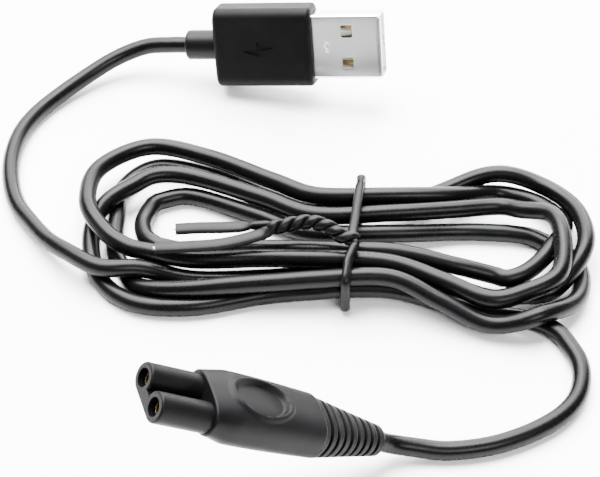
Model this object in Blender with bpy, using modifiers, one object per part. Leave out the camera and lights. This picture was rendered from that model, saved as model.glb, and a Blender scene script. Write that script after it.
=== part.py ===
"""Charging lead of a beard trimmer.

A USB plug and a two-socket trimmer connector are moulded on the ends of a round cord, and
the cord is wound into a flat hank that a twist tie holds at its waist.
"""

import math

import bmesh
import bpy
from mathutils import Euler, Matrix, Vector

MM = 0.001
GAP = 0.3 * MM

# Cord: two insulated cores in a round jacket.
CORD_RADIUS = 1.55 * MM
CORE_RADIUS = 0.55 * MM
CORE_PITCH = 1.5 * MM
CORD_STEP = 4 * CORD_RADIUS

# Plug, measured along its own X from the cord's exit to the open end.
COLLAR_LENGTH = 5.9 * MM
COLLAR_WALL = 1.2 * MM
OVERMOULD_LENGTH = 18.5 * MM
OVERMOULD_WIDTH = 14.8 * MM
OVERMOULD_HEIGHT = 7.6 * MM
OVERMOULD_WALL = 2.2 * MM
SHELL_WIDTH = 12.0 * MM
SHELL_HEIGHT = 4.5 * MM
SHELL_WALL = 0.3 * MM
SHELL_EXPOSED = 12.7 * MM
SHELL_SEAT = 6.0 * MM
WINDOW_FROM_MOUTH = 5.2 * MM
WINDOW_LENGTH = 2.1 * MM
WINDOW_WIDTH = 2.4 * MM
WINDOW_OFFSET = 3.0 * MM
TONGUE_HEIGHT = 1.8 * MM
TONGUE_RECESS = 1.0 * MM
CONTACT_WIDTH = 1.0 * MM
CONTACT_HEIGHT = 0.25 * MM
CONTACT_TAIL = 2.6 * MM
CONTACTS = {"contact_vbus": -3.5 * MM, "contact_data_minus": -1.0 * MM,
            "contact_data_plus": 1.0 * MM, "contact_ground": 3.5 * MM}
PREMOULD_WIDTH = 11.4 * MM
PREMOULD_HEIGHT = 4.9 * MM

# Trimmer connector, measured along its own X from the cord's exit to the nose.
BOOT_LENGTH = 13.2 * MM
BOOT_WALL = (0.8 * MM, 0.7 * MM)
BOOT_RIBS = 8
RIB_DEPTH = 0.55 * MM
BOOT_TAIL = 1.4 * MM
BOOT_STEP = 0.2 * MM
BOOT_ROUND = 0.4 * MM
GRIP_LENGTH = 19.8 * MM
GRIP_REAR = (10.2 * MM, 7.4 * MM)
GRIP_FRONT = (11.6 * MM, 8.0 * MM)
SHOULDER_LENGTH = 3.2 * MM
SHOULDER_LIP = 0.8 * MM
GRIP_WALL = 1.6 * MM
RECESS_LENGTH = 9.4 * MM
RECESS_WIDTH = 6.6 * MM
RECESS_DEPTH = 0.6 * MM
NOSE_LENGTH = 8.8 * MM
NOSE_SEAT = 6.4 * MM
BARREL_RADIUS = 2.3 * MM
SEAT_STEP = 0.5 * MM
GROOVE_FLOOR = 0.2 * MM
SOCKET_PITCH = 5.6 * MM
SOCKET_RADIUS = 1.1 * MM
PIN_RADIUS = 0.75 * MM
SOCKET_RECESS = 0.4 * MM
SOCKET_TAIL = 2.4 * MM
SLIT_WIDTH = 0.35 * MM
BLOCK_WALL = 0.45 * MM
BLOCK_CORNER = 1.5 * MM

# Tie: a plastic-coated wire.
TIE_RADIUS = 0.65 * MM
TIE_WIRE_RADIUS = 0.2 * MM
TIE_WALL = 0.3 * MM
TIE_TWIST_PITCH = 4.8 * MM
TIE_BEND = 1.5 * MM
TIE_STEP = 1.1 * MM

# Hank: its outline in plan, its height, and the straight waist that the tie slides on.
HANK_HEIGHT = 6.8 * MM
WAIST_X = (7.5 * MM, 18.5 * MM)
WAIST_Y = (-8.0 * MM, 14.4 * MM)
HANK_OUTLINE = [
    (-33, 10.9), (-30.6, 19.9), (-22.6, 26.5), (-11.5, 24.5), (0, 18.4),
    (7.5, 14.5), (18.5, 14.5), (28.5, 17.3), (38.5, 19.7), (47, 16.9), (52.6, 9.4),
    (53.6, -0.1), (49.6, -9.1), (42.2, -14.1), (34.5, -14.7), (26.5, -11.3),
    (18.5, -8.1), (7.5, -8.1), (-2, -8.5), (-13.5, -10.3), (-23.5, -9.5),
    (-30.6, -4.7), (-33.4, 2.9),
]

# Places: where the cord leaves each moulding, and how the moulding is turned.
PLUG_EXIT = (-16.9, 52, 7.1)
PLUG_TURN = (68.0, -8.7, -10.5)
CONNECTOR_EXIT = (15.6, -40.4, 4.9)
CONNECTOR_TURN = (0.0, -35.0, -162.0)

# Routes of the free cord, point by point, in millimetres.
USB_ROUTE = [
    (-25, 53.3, 5.6), (-30.5, 51.9, 4), (-35.5, 48.7, 2.6), (-40.2, 44.3, 1.8),
    (-44.2, 39.1, 1.55), (-46.7, 33.4, 1.55), (-47.6, 26.9, 1.55), (-47, 20.4, 1.55),
    (-45.3, 14.7, 1.7), (-42.4, 9.7, 2.2), (-39, 5.3, 3.1), (-35.9, 2, 4.1),
]
CONNECTOR_ROUTE = [
    (21.9, -39.5, 2.1), (26, -39.7, 1.6), (30.5, -39.3, 1.55), (35, -38.2, 1.55),
    (40.2, -35.9, 1.55), (44.6, -32.9, 1.55), (47.4, -29.5, 1.55), (48.7, -25.7, 1.55),
    (48.8, -21.9, 1.55), (47.6, -18.3, 1.55), (45.7, -15.1, 1.7),
]

# The tie's loop crosses the far side of the waist at one X and the near side at the other.
# Its twist and its two tails lie over the hank, with heights counted from the hank's top.
TIE_FAR_X = 14.6 * MM
TIE_NEAR_X = 11.4 * MM
TWIST_LINE = [
    (13.2, -1.5, 1.9), (11, -1, 2.2), (8.6, 1, 2.4), (6, 2.2, 2.3),
    (3.4, 2.2, 2.1), (0.9, 1.6, 2), (-1.4, 1.2, 1.9),
]
TAIL_UPPER = [(-4.6, 2, 1.3), (-8.6, 2, 1), (-12.8, 1.9, 1), (-16.8, 1.6, 1)]
TAIL_LOWER = [(-4.6, -0.8, 1.3), (-9.2, -1.7, 1), (-14.6, -2.3, 1), (-20, -2.6, 1)]

parts = None
cutters = None


def start():
    """Empty the file and make the two collections."""
    global parts, cutters
    for item in list(bpy.data.objects):
        bpy.data.objects.remove(item, do_unlink=True)
    parts = bpy.data.collections.new("trimmer_charging_lead")
    cutters = bpy.data.collections.new("cutters")
    bpy.context.scene.collection.children.link(parts)
    bpy.context.scene.collection.children.link(cutters)


def material(name, colour, roughness, metallic=0.0):
    made = bpy.data.materials.new(name)
    made.use_nodes = True
    shader = made.node_tree.nodes["Principled BSDF"]
    shader.inputs["Base Color"].default_value = (*colour, 1.0)
    shader.inputs["Roughness"].default_value = roughness
    shader.inputs["Metallic"].default_value = metallic
    return made


def joint_frame(name, exit_mm, turn_degrees, forward):
    """An empty on the joint's axis, `forward` along the piece from the cord's exit."""
    empty = bpy.data.objects.new(name, None)
    turn = Euler([math.radians(a) for a in turn_degrees], "XYZ")
    empty.rotation_euler = turn
    empty.location = Vector(exit_mm) * MM + turn.to_matrix() @ Vector((forward, 0, 0))
    parts.objects.link(empty)
    return empty


def place(mesh, name, finish=None, frame=None, forward=0.0):
    """Put a mesh in the parts, in a joint's frame, or in the cutters when it has no finish."""
    made = bpy.data.objects.new(name, mesh)
    if finish is None:
        made.hide_render = True
        made.display_type = "WIRE"
        cutters.objects.link(made)
    else:
        mesh.materials.append(finish)
        parts.objects.link(made)
    if frame is not None:
        made.parent = frame
        made.location = (-forward, 0, 0)
    return made


def cut(target, *tools):
    """Take tools away from a piece, with all of them in the piece's own frame."""
    for tool in tools:
        tool.parent = target.parent
        tool.location = target.location
        step = target.modifiers.new("cut_" + tool.name, "BOOLEAN")
        step.operation = "DIFFERENCE"
        step.object = tool
        step.solver = "EXACT"


def join(target, *tools):
    for tool in tools:
        tool.parent = target.parent
        tool.location = target.location
        step = target.modifiers.new("join_" + tool.name, "BOOLEAN")
        step.operation = "UNION"
        step.object = tool
        step.solver = "EXACT"


def finish_mesh(shape, name, smooth=True):
    mesh = bpy.data.meshes.new(name)
    bmesh.ops.recalc_face_normals(shape, faces=shape.faces)
    shape.to_mesh(mesh)
    shape.free()
    if smooth:
        mesh.shade_smooth()
        mesh.set_sharp_from_angle(angle=math.radians(35))
    return mesh


def bar(name, start_x, end_x, width, height, radius=0.0, centre=(0.0, 0.0), ends=0.0):
    """A bar along X. radius rounds its long edges and ends rounds its two end faces."""
    shape = bmesh.new()
    bmesh.ops.create_cube(shape, size=1.0)
    middle = Vector(((start_x + end_x) / 2, centre[0], centre[1]))
    bmesh.ops.scale(shape, vec=(end_x - start_x, width, height), verts=shape.verts)
    bmesh.ops.translate(shape, vec=middle, verts=shape.verts)
    if radius:
        long_edges = [e for e in shape.edges
                      if abs(e.verts[0].co.x - e.verts[1].co.x) > 0.5 * (end_x - start_x)]
        bmesh.ops.bevel(shape, geom=long_edges, offset=radius, segments=4, profile=0.5,
                        affect="EDGES")
    if ends:
        rims = [e for e in shape.edges
                if abs(e.verts[0].co.x - e.verts[1].co.x) < 1e-7]
        bmesh.ops.bevel(shape, geom=rims, offset=ends, segments=2, profile=0.5,
                        affect="EDGES")
    return finish_mesh(shape, name)


def rod(name, start_x, end_x, radius, centre=(0.0, 0.0), segments=20):
    """A round bar along X."""
    shape = bmesh.new()
    turn = Matrix.Rotation(math.pi / 2, 4, "Y")
    middle = Matrix.Translation(((start_x + end_x) / 2, centre[0], centre[1]))
    bmesh.ops.create_cone(shape, cap_ends=True, segments=segments, radius1=radius,
                          radius2=radius, depth=end_x - start_x, matrix=middle @ turn)
    return finish_mesh(shape, name)


def turned(name, profile, steps=24):
    """Turn a closed outline of (x, radius) points about X with a Screw modifier."""
    mesh = bpy.data.meshes.new(name)
    points = [(x, 0.0, radius) for x, radius in profile]
    edges = [(i, (i + 1) % len(points)) for i in range(len(points))]
    mesh.from_pydata(points, edges, [])
    made = bpy.data.objects.new(name + "_profile", mesh)
    cutters.objects.link(made)
    screw = made.modifiers.new("turn", "SCREW")
    screw.axis = "X"
    screw.steps = steps
    screw.render_steps = steps
    screw.use_merge_vertices = True
    screw.merge_threshold = 0.00001
    solid = as_mesh(made, name)
    shape = bmesh.new()
    shape.from_mesh(solid)
    bpy.data.meshes.remove(solid)
    return finish_mesh(shape, name)


def as_mesh(made, name):
    """The evaluated object as a plain welded mesh; the object is removed."""
    bpy.context.view_layer.update()
    graph = bpy.context.evaluated_depsgraph_get()
    mesh = bpy.data.meshes.new_from_object(made.evaluated_get(graph))
    mesh.name = name
    mesh.transform(made.matrix_world)
    shape = bmesh.new()
    shape.from_mesh(mesh)
    bmesh.ops.remove_doubles(shape, verts=shape.verts, dist=0.000002)
    shape.to_mesh(mesh)
    shape.free()
    bpy.data.objects.remove(made, do_unlink=True)
    return mesh


def smooth_line(points, step):
    """Points at an even step along a smooth curve through the given points."""
    held = [Vector(p) for p in points]
    held = [2 * held[0] - held[1]] + held + [2 * held[-1] - held[-2]]
    fine = []
    for i in range(1, len(held) - 2):
        a, b, c, d = held[i - 1:i + 3]
        for j in range(16):
            t = j / 16
            fine.append(0.5 * ((2 * b) + (c - a) * t + (2 * a - 5 * b + 4 * c - d) * t * t
                               + (3 * b - a - 3 * c + d) * t ** 3))
    fine.append(held[-2])
    runs = [0.0]
    for a, b in zip(fine, fine[1:]):
        runs.append(runs[-1] + (b - a).length)
    count = max(2, round(runs[-1] / step))
    line, at = [], 0
    for k in range(count + 1):
        goal = runs[-1] * k / count
        while at < len(fine) - 2 and runs[at + 1] < goal:
            at += 1
        share = (goal - runs[at]) / (runs[at + 1] - runs[at])
        line.append(fine[at].lerp(fine[at + 1], share))
    return line


def tube(name, line, radius, capped=True, sides=2):
    """A round tube along a line, as a curve object outside every collection."""
    curve = bpy.data.curves.new(name, "CURVE")
    curve.dimensions = "3D"
    curve.bevel_depth = radius
    curve.bevel_resolution = sides
    curve.use_fill_caps = capped
    spline = curve.splines.new("POLY")
    spline.points.add(len(line) - 1)
    for point, at in zip(spline.points, line):
        point.co = (*at, 1.0)
    return bpy.data.objects.new(name, curve)


def cord(name, line, finish):
    made = tube(name, line, CORD_RADIUS)
    made.data.materials.append(finish)
    parts.objects.link(made)
    return made


def tube_mesh(name, line, radius, capped=True, sides=1):
    made = tube(name + "_line", line, radius, capped, sides)
    cutters.objects.link(made)
    return as_mesh(made, name)


def loft(name, sections, points=28, square=2.6):
    """A body along X through rounded sections (x, width, height), closed at both ends."""
    shape = bmesh.new()
    rings = []
    for x, width, height in sections:
        ring = []
        for i in range(points):
            angle = 2 * math.pi * i / points
            c, s = math.cos(angle), math.sin(angle)
            y = math.copysign(abs(c) ** (2 / square), c) * width / 2
            z = math.copysign(abs(s) ** (2 / square), s) * height / 2
            ring.append(shape.verts.new((x, y, z)))
        rings.append(ring)
    for first, second in zip(rings, rings[1:]):
        for i in range(points):
            j = (i + 1) % points
            shape.faces.new((first[i], first[j], second[j], second[i]))
    shape.faces.new(rings[0][::-1])
    shape.faces.new(rings[-1])
    return finish_mesh(shape, name)


def usb_sizes():
    """Places along the plug that more than one of its pieces uses."""
    rear = COLLAR_LENGTH
    front = rear + OVERMOULD_LENGTH
    return {"rear": rear, "front": front, "shell": front - SHELL_SEAT,
            "mouth": front + SHELL_EXPOSED, "premould": rear + OVERMOULD_WALL,
            "tail": rear + OVERMOULD_WALL + 1.3 * MM}


def build_shell(at, frame, forward, steel):
    shell = place(bar("usb_shell", at["shell"], at["mouth"], SHELL_WIDTH, SHELL_HEIGHT,
                      2 * SHELL_WALL), "usb_shell", steel, frame, forward)
    hollow = bar("shell_hollow", at["shell"] - MM, at["mouth"] + MM, SHELL_WIDTH - 2 * SHELL_WALL,
                 SHELL_HEIGHT - 2 * SHELL_WALL, SHELL_WALL)
    cut(shell, place(hollow, "shell_hollow"))
    front = at["mouth"] - WINDOW_FROM_MOUTH
    for side in (-1, 1):
        hole = bar("window", front - WINDOW_LENGTH, front, WINDOW_WIDTH, 2 * SHELL_HEIGHT,
                   centre=(side * WINDOW_OFFSET, 0.0))
        cut(shell, place(hole, "window"))
    # The stamped oval that locks the shell sheet lies behind the windows.
    dimple = bmesh.new()
    bmesh.ops.create_cone(dimple, cap_ends=True, segments=16, radius1=0.85 * MM,
                          radius2=0.85 * MM, depth=0.3 * MM)
    bmesh.ops.scale(dimple, vec=(0.55, 1.0, 1.0), verts=dimple.verts)
    spot = Vector((at["front"] + 2.7 * MM, 0, SHELL_HEIGHT / 2))
    bmesh.ops.translate(dimple, vec=spot, verts=dimple.verts)
    cut(shell, place(finish_mesh(dimple, "dimple"), "dimple"))


def build_contacts(at, frame, forward, plastic, gold):
    top = SHELL_WALL - SHELL_HEIGHT / 2 + GAP + TONGUE_HEIGHT
    width = SHELL_WIDTH - 2 * SHELL_WALL - 2 * GAP
    end = at["mouth"] - TONGUE_RECESS
    tongue = place(bar("usb_tongue", at["shell"], end, width, TONGUE_HEIGHT,
                       centre=(0.0, top - TONGUE_HEIGHT / 2)), "usb_tongue", plastic, frame,
                   forward)
    for name, side in CONTACTS.items():
        groove = bar("groove", at["shell"] - MM, end - 0.5 * MM, CONTACT_WIDTH + 2 * GAP,
                     2 * (CONTACT_HEIGHT + GAP), centre=(side, top))
        cut(tongue, place(groove, "groove"))
        strip = bar(name, at["shell"] - CONTACT_TAIL, end - 0.5 * MM - GAP, CONTACT_WIDTH,
                    CONTACT_HEIGHT, centre=(side, top - CONTACT_HEIGHT / 2))
        place(strip, name, gold, frame, forward)
    return top - CONTACT_HEIGHT / 2


def core_line(from_x, from_y, to_x, to_y, to_z):
    """A core's way out of the cord, spreading to its contact."""
    reach = to_x - from_x
    points = [(from_x, from_y, 0.0), (from_x + 0.3 * reach, from_y * 1.15, 0.1 * to_z),
              (to_x - 0.3 * reach, to_y * 0.94, 0.9 * to_z), (to_x, to_y, to_z)]
    return smooth_line(points, 1.0 * MM)


def longer(line, extra):
    """The same line drawn out at both ends."""
    first = line[0] + (line[0] - line[1]).normalized() * extra
    last = line[-1] + (line[-1] - line[-2]).normalized() * extra
    return [first] + line + [last]


def build_plug(frame, forward, finish):
    at = usb_sizes()
    build_shell(at, frame, forward, finish["steel"])
    contact_z = build_contacts(at, frame, forward, finish["tongue"], finish["gold"])

    # Premould: holds the solder joints behind the shell, and the end of the cord.
    block_end = at["shell"] - GAP
    premould = place(bar("usb_premould", at["premould"], block_end, PREMOULD_WIDTH,
                         PREMOULD_HEIGHT, 0.6 * MM), "usb_premould", finish["inner"], frame,
                     forward)
    seat = rod("cord_seat", at["premould"] - MM, at["tail"] + GAP, CORD_RADIUS + GAP)
    pocket = bar("solder_pocket", at["shell"] - CONTACT_TAIL - 2 * GAP, block_end + MM,
                 2 * max(CONTACTS.values()) + CONTACT_WIDTH + 2 * GAP,
                 CONTACT_HEIGHT + 4 * GAP, centre=(0.0, contact_z))
    cut(premould, place(seat, "cord_seat"), place(pocket, "solder_pocket"))
    for side, name in ((-1, "usb_core_positive"), (1, "usb_core_negative")):
        line = core_line(at["tail"] + GAP, side * CORE_PITCH / 2,
                         at["shell"] - CONTACT_TAIL - GAP, side * max(CONTACTS.values()),
                         contact_z)
        tone = finish["red"] if side < 0 else finish["black"]
        place(tube_mesh(name, line, CORE_RADIUS), name, tone, frame, forward)
        way = tube_mesh("core_way", longer(line, 0.5 * MM), CORE_RADIUS + GAP)
        cut(premould, place(way, "core_way"))

    # Overmould: the grip, hollow over the shell's seat and the premould.
    overmould = place(bar("usb_overmould", at["rear"], at["front"], OVERMOULD_WIDTH,
                          OVERMOULD_HEIGHT, 1.9 * MM, ends=0.7 * MM), "usb_overmould",
                      finish["mould"], frame, forward)
    shell_way = bar("shell_way", at["shell"] - GAP, at["front"] + MM, SHELL_WIDTH + 2 * GAP,
                    SHELL_HEIGHT + 2 * GAP, 2 * SHELL_WALL)
    inner_way = bar("premould_way", at["premould"] - GAP, at["shell"], PREMOULD_WIDTH + 2 * GAP,
                    PREMOULD_HEIGHT + 2 * GAP, 0.6 * MM)
    cord_way = rod("cord_way", at["rear"] - MM, at["premould"], CORD_RADIUS + GAP)
    cut(overmould, place(shell_way, "shell_way"), place(inner_way, "premould_way"),
        place(cord_way, "cord_way"))

    # Collar: the short neck that the cord leaves by, over the end of the cord.
    lip = 0.5 * MM
    hole = CORD_RADIUS + GAP
    outer = CORD_RADIUS + COLLAR_WALL
    collar = [(0.0, hole), (0.0, outer - lip), (lip, outer),
              (COLLAR_LENGTH - GAP, outer), (COLLAR_LENGTH - GAP, hole)]
    place(turned("usb_collar", collar), "usb_collar", finish["mould"], frame, forward)
    place(rod("usb_cord_end", GAP / 2, at["tail"], CORD_RADIUS), "usb_cord_end",
          finish["cord"], frame, forward)


def nose_section(name, start_x, end_x, spare):
    """Two barrels, and the web under the groove between them; spare is added all round."""
    radius = BARREL_RADIUS + spare
    web_top = spare - GROOVE_FLOOR
    barrels = [rod(name + "_barrel", start_x, end_x, radius, (side * SOCKET_PITCH / 2, 0.0), 32)
               for side in (-1, 1)]
    web = bar(name + "_web", start_x, end_x, SOCKET_PITCH, radius + web_top,
              centre=(0.0, (web_top - radius) / 2))
    return barrels + [web]


def build_nose(at, frame, forward, finish):
    seat = nose_section("seat", at["nose"], at["grip_end"] + MM, -SEAT_STEP)
    first, *rest = nose_section("nose", at["grip_end"] + GAP, at["face"], 0.0)
    nose = place(first, "connector_nose", finish["mould"], frame, forward)
    join(nose, *[place(piece, piece.name) for piece in rest + seat])
    names = ("socket_positive", "socket_negative")
    for side, name in zip((-1, 1), names):
        centre = (side * SOCKET_PITCH / 2, 0.0)
        bore = rod("pin_bore", at["nose"] - MM, at["face"] + MM, SOCKET_RADIUS + GAP, centre)
        cut(nose, place(bore, "pin_bore"))
        end = at["face"] - SOCKET_RECESS
        socket = place(rod(name, at["nose"] - GAP, end, SOCKET_RADIUS, centre), name,
                       finish["brass"], frame, forward)
        tail = rod("solder_tail", at["nose"] - SOCKET_TAIL, at["nose"] + MM, CORE_RADIUS, centre)
        join(socket, place(tail, "solder_tail"))
        pin_way = rod("pin_way", at["nose"] + 2 * MM, end + MM, PIN_RADIUS, centre)
        slit = bar("slit", end - 0.5 * NOSE_LENGTH, end + MM, SLIT_WIDTH, 4 * SOCKET_RADIUS,
                   centre=(centre[0], 2 * SOCKET_RADIUS))
        cut(socket, place(pin_way, "pin_way"), place(slit, "slit"))


def grip_outline(at):
    """Sections of the grip, from the boot to the sloping shoulder at the nose."""
    front = (at["grip_end"], 2 * BARREL_RADIUS + SOCKET_PITCH + SHOULDER_LIP,
             2 * BARREL_RADIUS + 2 * SHOULDER_LIP)
    shoulder = at["grip_end"] - SHOULDER_LENGTH
    rear = at["grip"]
    ease = 0.35
    sections = [(rear, GRIP_REAR[0] - 0.5 * MM, GRIP_REAR[1] - 0.5 * MM),
                (rear + ease * MM, *GRIP_REAR)]
    for share in (0.3, 0.6, 0.85, 1.0):
        grown = math.sin(share * math.pi / 2)
        sections.append((rear + share * (shoulder - rear),
                         GRIP_REAR[0] + grown * (GRIP_FRONT[0] - GRIP_REAR[0]),
                         GRIP_REAR[1] + grown * (GRIP_FRONT[1] - GRIP_REAR[1])))
    sections.append((shoulder + 0.3 * SHOULDER_LENGTH, GRIP_FRONT[0] - 0.15 * MM,
                     GRIP_FRONT[1] - 0.5 * MM))
    return sections + [front]


def build_grip(at, frame, forward, finish):
    grip = place(loft("connector_grip", grip_outline(at)), "connector_grip", finish["mould"],
                 frame, forward)
    for way in nose_section("nose_way", at["nose"] - GAP, at["grip_end"] + MM,
                            GAP - SEAT_STEP):
        cut(grip, place(way, way.name))
    block_way = bar("block_way", at["block"] - GAP, at["nose"],
                    at["block_width"] + 2 * GAP, at["block_height"] + 2 * GAP,
                    BLOCK_CORNER + GAP)
    cord_way = rod("grip_cord_way", at["grip"] - MM, at["block"], CORD_RADIUS + GAP)
    cut(grip, place(block_way, "block_way"), place(cord_way, "grip_cord_way"))

    # The thumb recess is a shallow oval dish on the top face.
    dish = bmesh.new()
    bmesh.ops.create_uvsphere(dish, u_segments=28, v_segments=14, radius=1.0)
    bmesh.ops.scale(dish, vec=(RECESS_LENGTH / 2, RECESS_WIDTH / 2, 2 * RECESS_DEPTH),
                    verts=dish.verts)
    middle = at["grip"] + 0.56 * GRIP_LENGTH
    height = (GRIP_FRONT[1] + GRIP_REAR[1]) / 4 + RECESS_DEPTH
    bmesh.ops.translate(dish, vec=(middle, 0.0, height), verts=dish.verts)
    cut(grip, place(finish_mesh(dish, "thumb_dish"), "thumb_dish"))


def boot_outline(at):
    """Sections of the boot: ribs and grooves in turn, growing towards the grip."""
    end = at["grip"] - GAP
    pitch = (end - BOOT_TAIL) / BOOT_RIBS
    rear = [2 * (CORD_RADIUS + wall) for wall in BOOT_WALL]
    front = [side - 2 * BOOT_STEP for side in GRIP_REAR]

    def size(x, depth):
        share = x / end
        width, height = [a + share * (b - a) - 2 * depth for a, b in zip(rear, front)]
        return (x, width, height)

    sections = [size(0.0, BOOT_ROUND), size(BOOT_ROUND, 0.0)]
    for rib in range(BOOT_RIBS):
        x = BOOT_TAIL + rib * pitch
        sections.append(size(x, 0.0))
        sections.append(size(x + 0.12 * pitch, RIB_DEPTH))
        sections.append(size(x + 0.32 * pitch, RIB_DEPTH))
        sections.append(size(x + 0.44 * pitch, 0.0))
    sections.append(size(end, 0.0))
    return sections


def build_connector(frame, forward, finish):
    grip = BOOT_LENGTH
    grip_end = grip + GRIP_LENGTH
    at = {"grip": grip, "grip_end": grip_end, "face": grip_end + NOSE_LENGTH,
          "nose": grip_end - NOSE_SEAT, "block": grip + GRIP_WALL, "tail": grip + 2 * GRIP_WALL,
          "block_width": SOCKET_PITCH + 2 * (CORE_RADIUS + GAP + BLOCK_WALL),
          "block_height": 2 * (CORD_RADIUS + GAP + BLOCK_WALL)}
    build_nose(at, frame, forward, finish)
    build_grip(at, frame, forward, finish)

    # Inner block: sets the cores and the sockets' tails in place before the grip is moulded.
    block_bar = bar("connector_block", at["block"], at["nose"] - GAP,
                    at["block_width"], at["block_height"], BLOCK_CORNER)
    block = place(block_bar, "connector_block", finish["inner"], frame,
                  forward)
    seat = rod("block_seat", at["block"] - MM, at["tail"] + GAP, CORD_RADIUS + GAP)
    cut(block, place(seat, "block_seat"))
    for side, name in ((-1, "connector_core_positive"), (1, "connector_core_negative")):
        line = core_line(at["tail"] + GAP, side * CORE_PITCH / 2,
                         at["nose"] - SOCKET_TAIL - GAP, side * SOCKET_PITCH / 2, 0.0)
        tone = finish["red"] if side < 0 else finish["black"]
        place(tube_mesh(name, line, CORE_RADIUS), name, tone, frame, forward)
        way = longer(line, 0.5 * MM) + [Vector((at["nose"] + MM, side * SOCKET_PITCH / 2, 0.0))]
        cut(block, place(tube_mesh("block_core_way", way, CORE_RADIUS + GAP), "block_core_way"))

    boot = place(loft("connector_boot", boot_outline(at), 24, 2.3), "connector_boot",
                 finish["boot"], frame, forward)
    cut(boot, place(rod("boot_way", -MM, grip, CORD_RADIUS + GAP), "boot_way"))
    place(rod("connector_cord_end", GAP / 2, at["tail"], CORD_RADIUS), "connector_cord_end",
          finish["cord"], frame, forward)


def lead_line(exit_mm, turn_degrees, route):
    """The free cord from the mouth of its moulding along its route, at an even step."""
    turn = Euler([math.radians(a) for a in turn_degrees], "XYZ").to_matrix()
    out = turn @ Vector((-1.0, 0.0, 0.0))
    mouth = Vector(exit_mm) * MM
    start = mouth + out * (GAP / 2 + CORD_RADIUS / 2)
    points = [start, mouth + out * 2 * CORD_RADIUS] + [Vector(p) * MM for p in route]
    return [mouth + out * GAP / 2] + smooth_line(points, CORD_STEP)


def build_hank(finish):
    """The hank's outer shape: a waisted outline with round ends, notched under the tie."""
    curve = bpy.data.curves.new("hank_outline", "CURVE")
    curve.dimensions = "2D"
    curve.fill_mode = "BOTH"
    curve.extrude = HANK_HEIGHT / 2
    curve.resolution_u = 3
    spline = curve.splines.new("BEZIER")
    spline.use_cyclic_u = True
    spline.bezier_points.add(len(HANK_OUTLINE) - 1)
    for point, (x, y) in zip(spline.bezier_points, HANK_OUTLINE):
        point.co = (x * MM, y * MM, 0.0)
        point.handle_left_type = "AUTO"
        point.handle_right_type = "AUTO"
    outline = bpy.data.objects.new("hank_outline", curve)
    outline.location = (0.0, 0.0, HANK_HEIGHT / 2)
    cutters.objects.link(outline)
    solid = as_mesh(outline, "cord_hank")
    shape = bmesh.new()
    shape.from_mesh(solid)
    hank = place(finish_mesh(shape, "cord_hank"), "cord_hank", finish["cord"])
    depth = 2 * TIE_RADIUS + GAP
    low, high = WAIST_X
    notch = bar("tie_notch", low, high, 80 * MM, 2 * depth)
    waist = [bar("waist_side", low, high, 40 * MM, 4 * HANK_HEIGHT,
                 centre=(edge + side * 20 * MM, 0.0))
             for side, edge in ((-1, WAIST_Y[0]), (1, WAIST_Y[1]))]
    for tool in [notch] + waist:
        cut(hank, place(tool, tool.name))


def over_hank(points):
    """Points in metres, with their heights counted from the hank's top."""
    return [Vector(p) * MM + Vector((0, 0, HANK_HEIGHT)) for p in points]


def twisted_pair(centre, turns):
    """Two strands wound round a centre line, half a turn apart."""
    strands = []
    for phase in (0.0, math.pi):
        strand = []
        for i, at in enumerate(centre):
            ahead = centre[min(i + 1, len(centre) - 1)] - centre[max(i - 1, 0)]
            side = ahead.cross(Vector((0, 0, 1))).normalized()
            up = side.cross(ahead).normalized()
            angle = phase + 2 * math.pi * turns * i / (len(centre) - 1)
            out = math.cos(angle) * side + math.sin(angle) * up
            strand.append(at + (TIE_RADIUS + GAP / 2) * out)
        strands.append(strand)
    return strands


def waist_loop():
    """The tie's run over the waist, down its far side, back beneath it and up its near side."""
    reach = GAP + TIE_RADIUS
    near, far = WAIST_Y[0] - reach, WAIST_Y[1] + reach
    top, low = HANK_HEIGHT + reach, TIE_RADIUS

    def spot(share, z):
        """A point of the loop, by its share of the way from the near side to the far side."""
        x = TIE_NEAR_X + (TIE_FAR_X - TIE_NEAR_X) * share
        return Vector((x, near + (far - near) * share, z))

    round_share = TIE_BEND / (far - near)
    inset, drop = 0.3 * round_share, 0.3 * TIE_BEND
    run = [spot(0.40, top + 0.4 * MM), spot(0.57, top), spot(0.74, top)]
    run += [spot(1 - round_share, top), spot(1 - inset, top - drop), spot(1, top - TIE_BEND)]
    run += [spot(1, low + TIE_BEND), spot(1 - inset, low + drop), spot(1 - round_share, low)]
    run += [spot(0.75, low), spot(0.5, low), spot(0.27, low)]
    run += [spot(round_share, low), spot(inset, low + drop), spot(0, low + TIE_BEND)]
    run += [spot(0, top - TIE_BEND), spot(inset, top - drop), spot(round_share, top)]
    return run + [spot(0.17, top + 0.3 * MM)]


def tie_line():
    """The tie's whole length: one tail, the twist, the loop, the twist, the other tail."""
    centre = smooth_line(over_hank(TWIST_LINE), TIE_STEP)
    turns = (len(centre) - 1) * TIE_STEP / TIE_TWIST_PITCH
    first, second = sorted(twisted_pair(centre, turns), key=lambda strand: -strand[0].y)
    upper, lower = TAIL_UPPER, TAIL_LOWER
    if first[-1].y < second[-1].y:
        upper, lower = lower, upper
    whole = over_hank(reversed(upper)) + first[::-1] + waist_loop() + second + over_hank(lower)
    return smooth_line(whole, TIE_STEP)


def build_tie(frame, finish):
    line = [p - frame.location for p in tie_line()]
    sleeve = place(tube_mesh("tie_sleeve", line, TIE_RADIUS, False), "tie_sleeve",
                   finish["tie"], frame)
    wall = sleeve.modifiers.new("wall", "SOLIDIFY")
    wall.thickness = TIE_WALL
    wall.offset = -1.0
    wall.use_even_offset = True
    place(tube_mesh("tie_wire", line, TIE_WIRE_RADIUS), "tie_wire", finish["wire"], frame)


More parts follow.
